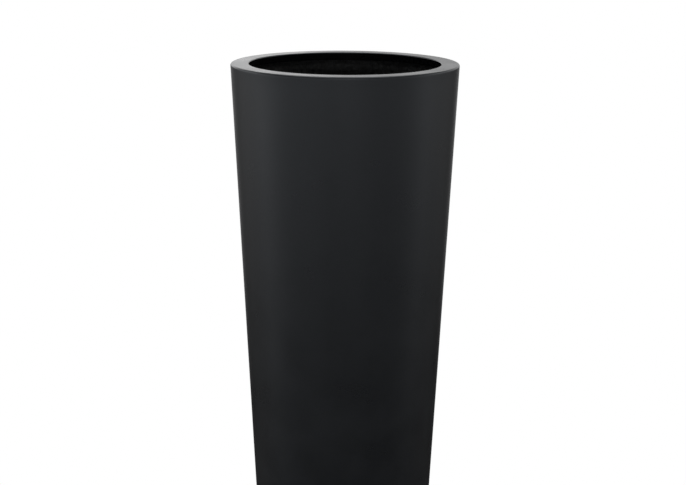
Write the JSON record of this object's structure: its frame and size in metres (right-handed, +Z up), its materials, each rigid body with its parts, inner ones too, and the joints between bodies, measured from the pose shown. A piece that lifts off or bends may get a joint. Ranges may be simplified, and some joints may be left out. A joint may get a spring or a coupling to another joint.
{
  "type": "tall planter",
  "caption": "Tall round tapered planter in black fiberglass with a flat rim, lift-out shelf, drain fitting with plug, and rubber feet.",
  "frame": {"origin": "on the floor, on the planter's axis", "axes": "+Z up along the planter's axis; -Y is the front and +X is to the right, seen from the front"},
  "size_m": [0.3999, 0.4, 0.9],
  "materials": {
    "painted_grp": "satin black paint on gelcoat, smooth",
    "raw_grp": "rough black chopped-strand laminate",
    "bonding_resin": "dark resin paste, smoothed by hand",
    "moulded_shelf": "black moulded plastic, fine grain",
    "black_nylon": "moulded nylon, semi-matt",
    "black_rubber": "matt rubber",
    "stainless_steel": "bright stainless steel",
    "brass": "turned brass"
  },
  "bodies": {
    "planter": {"outer_shell": "painted_grp", "rim_ring": "painted_grp", "rim_joint_strip": "raw_grp", "base_pan": "raw_grp", "base_bond_bead": "bonding_resin", "drain_outlet": "black_nylon", "drain_gasket": "black_rubber", "drain_locknut": "black_nylon", "foot_screws": "stainless_steel", "foot_washers": "stainless_steel", "foot_inserts": "brass", "foot_block_back_right": "raw_grp", "foot_block_back_left": "raw_grp", "foot_block_front_left": "raw_grp", "foot_block_front_right": "raw_grp", "rubber_foot_back_right": "black_rubber", "rubber_foot_back_left": "black_rubber", "rubber_foot_front_left": "black_rubber", "rubber_foot_front_right": "black_rubber", "shelf_cleat_right": "raw_grp", "shelf_cleat_back": "raw_grp", "shelf_cleat_left": "raw_grp", "shelf_cleat_front": "raw_grp"},
    "shelf": {"shelf": "moulded_shelf"},
    "drain_plug": {"drain_plug": "black_rubber"}
  },
  "joints": [
    {"name": "shelf_lift", "type": "slide", "parent": "planter", "child": "shelf", "axis": [0, 0, 1], "range_m": [0, 0.6]},
    {"name": "plug_pull", "type": "slide", "parent": "planter", "child": "drain_plug", "axis": [0, 0, 1], "range_m": [0, 0.06]}
  ]
}
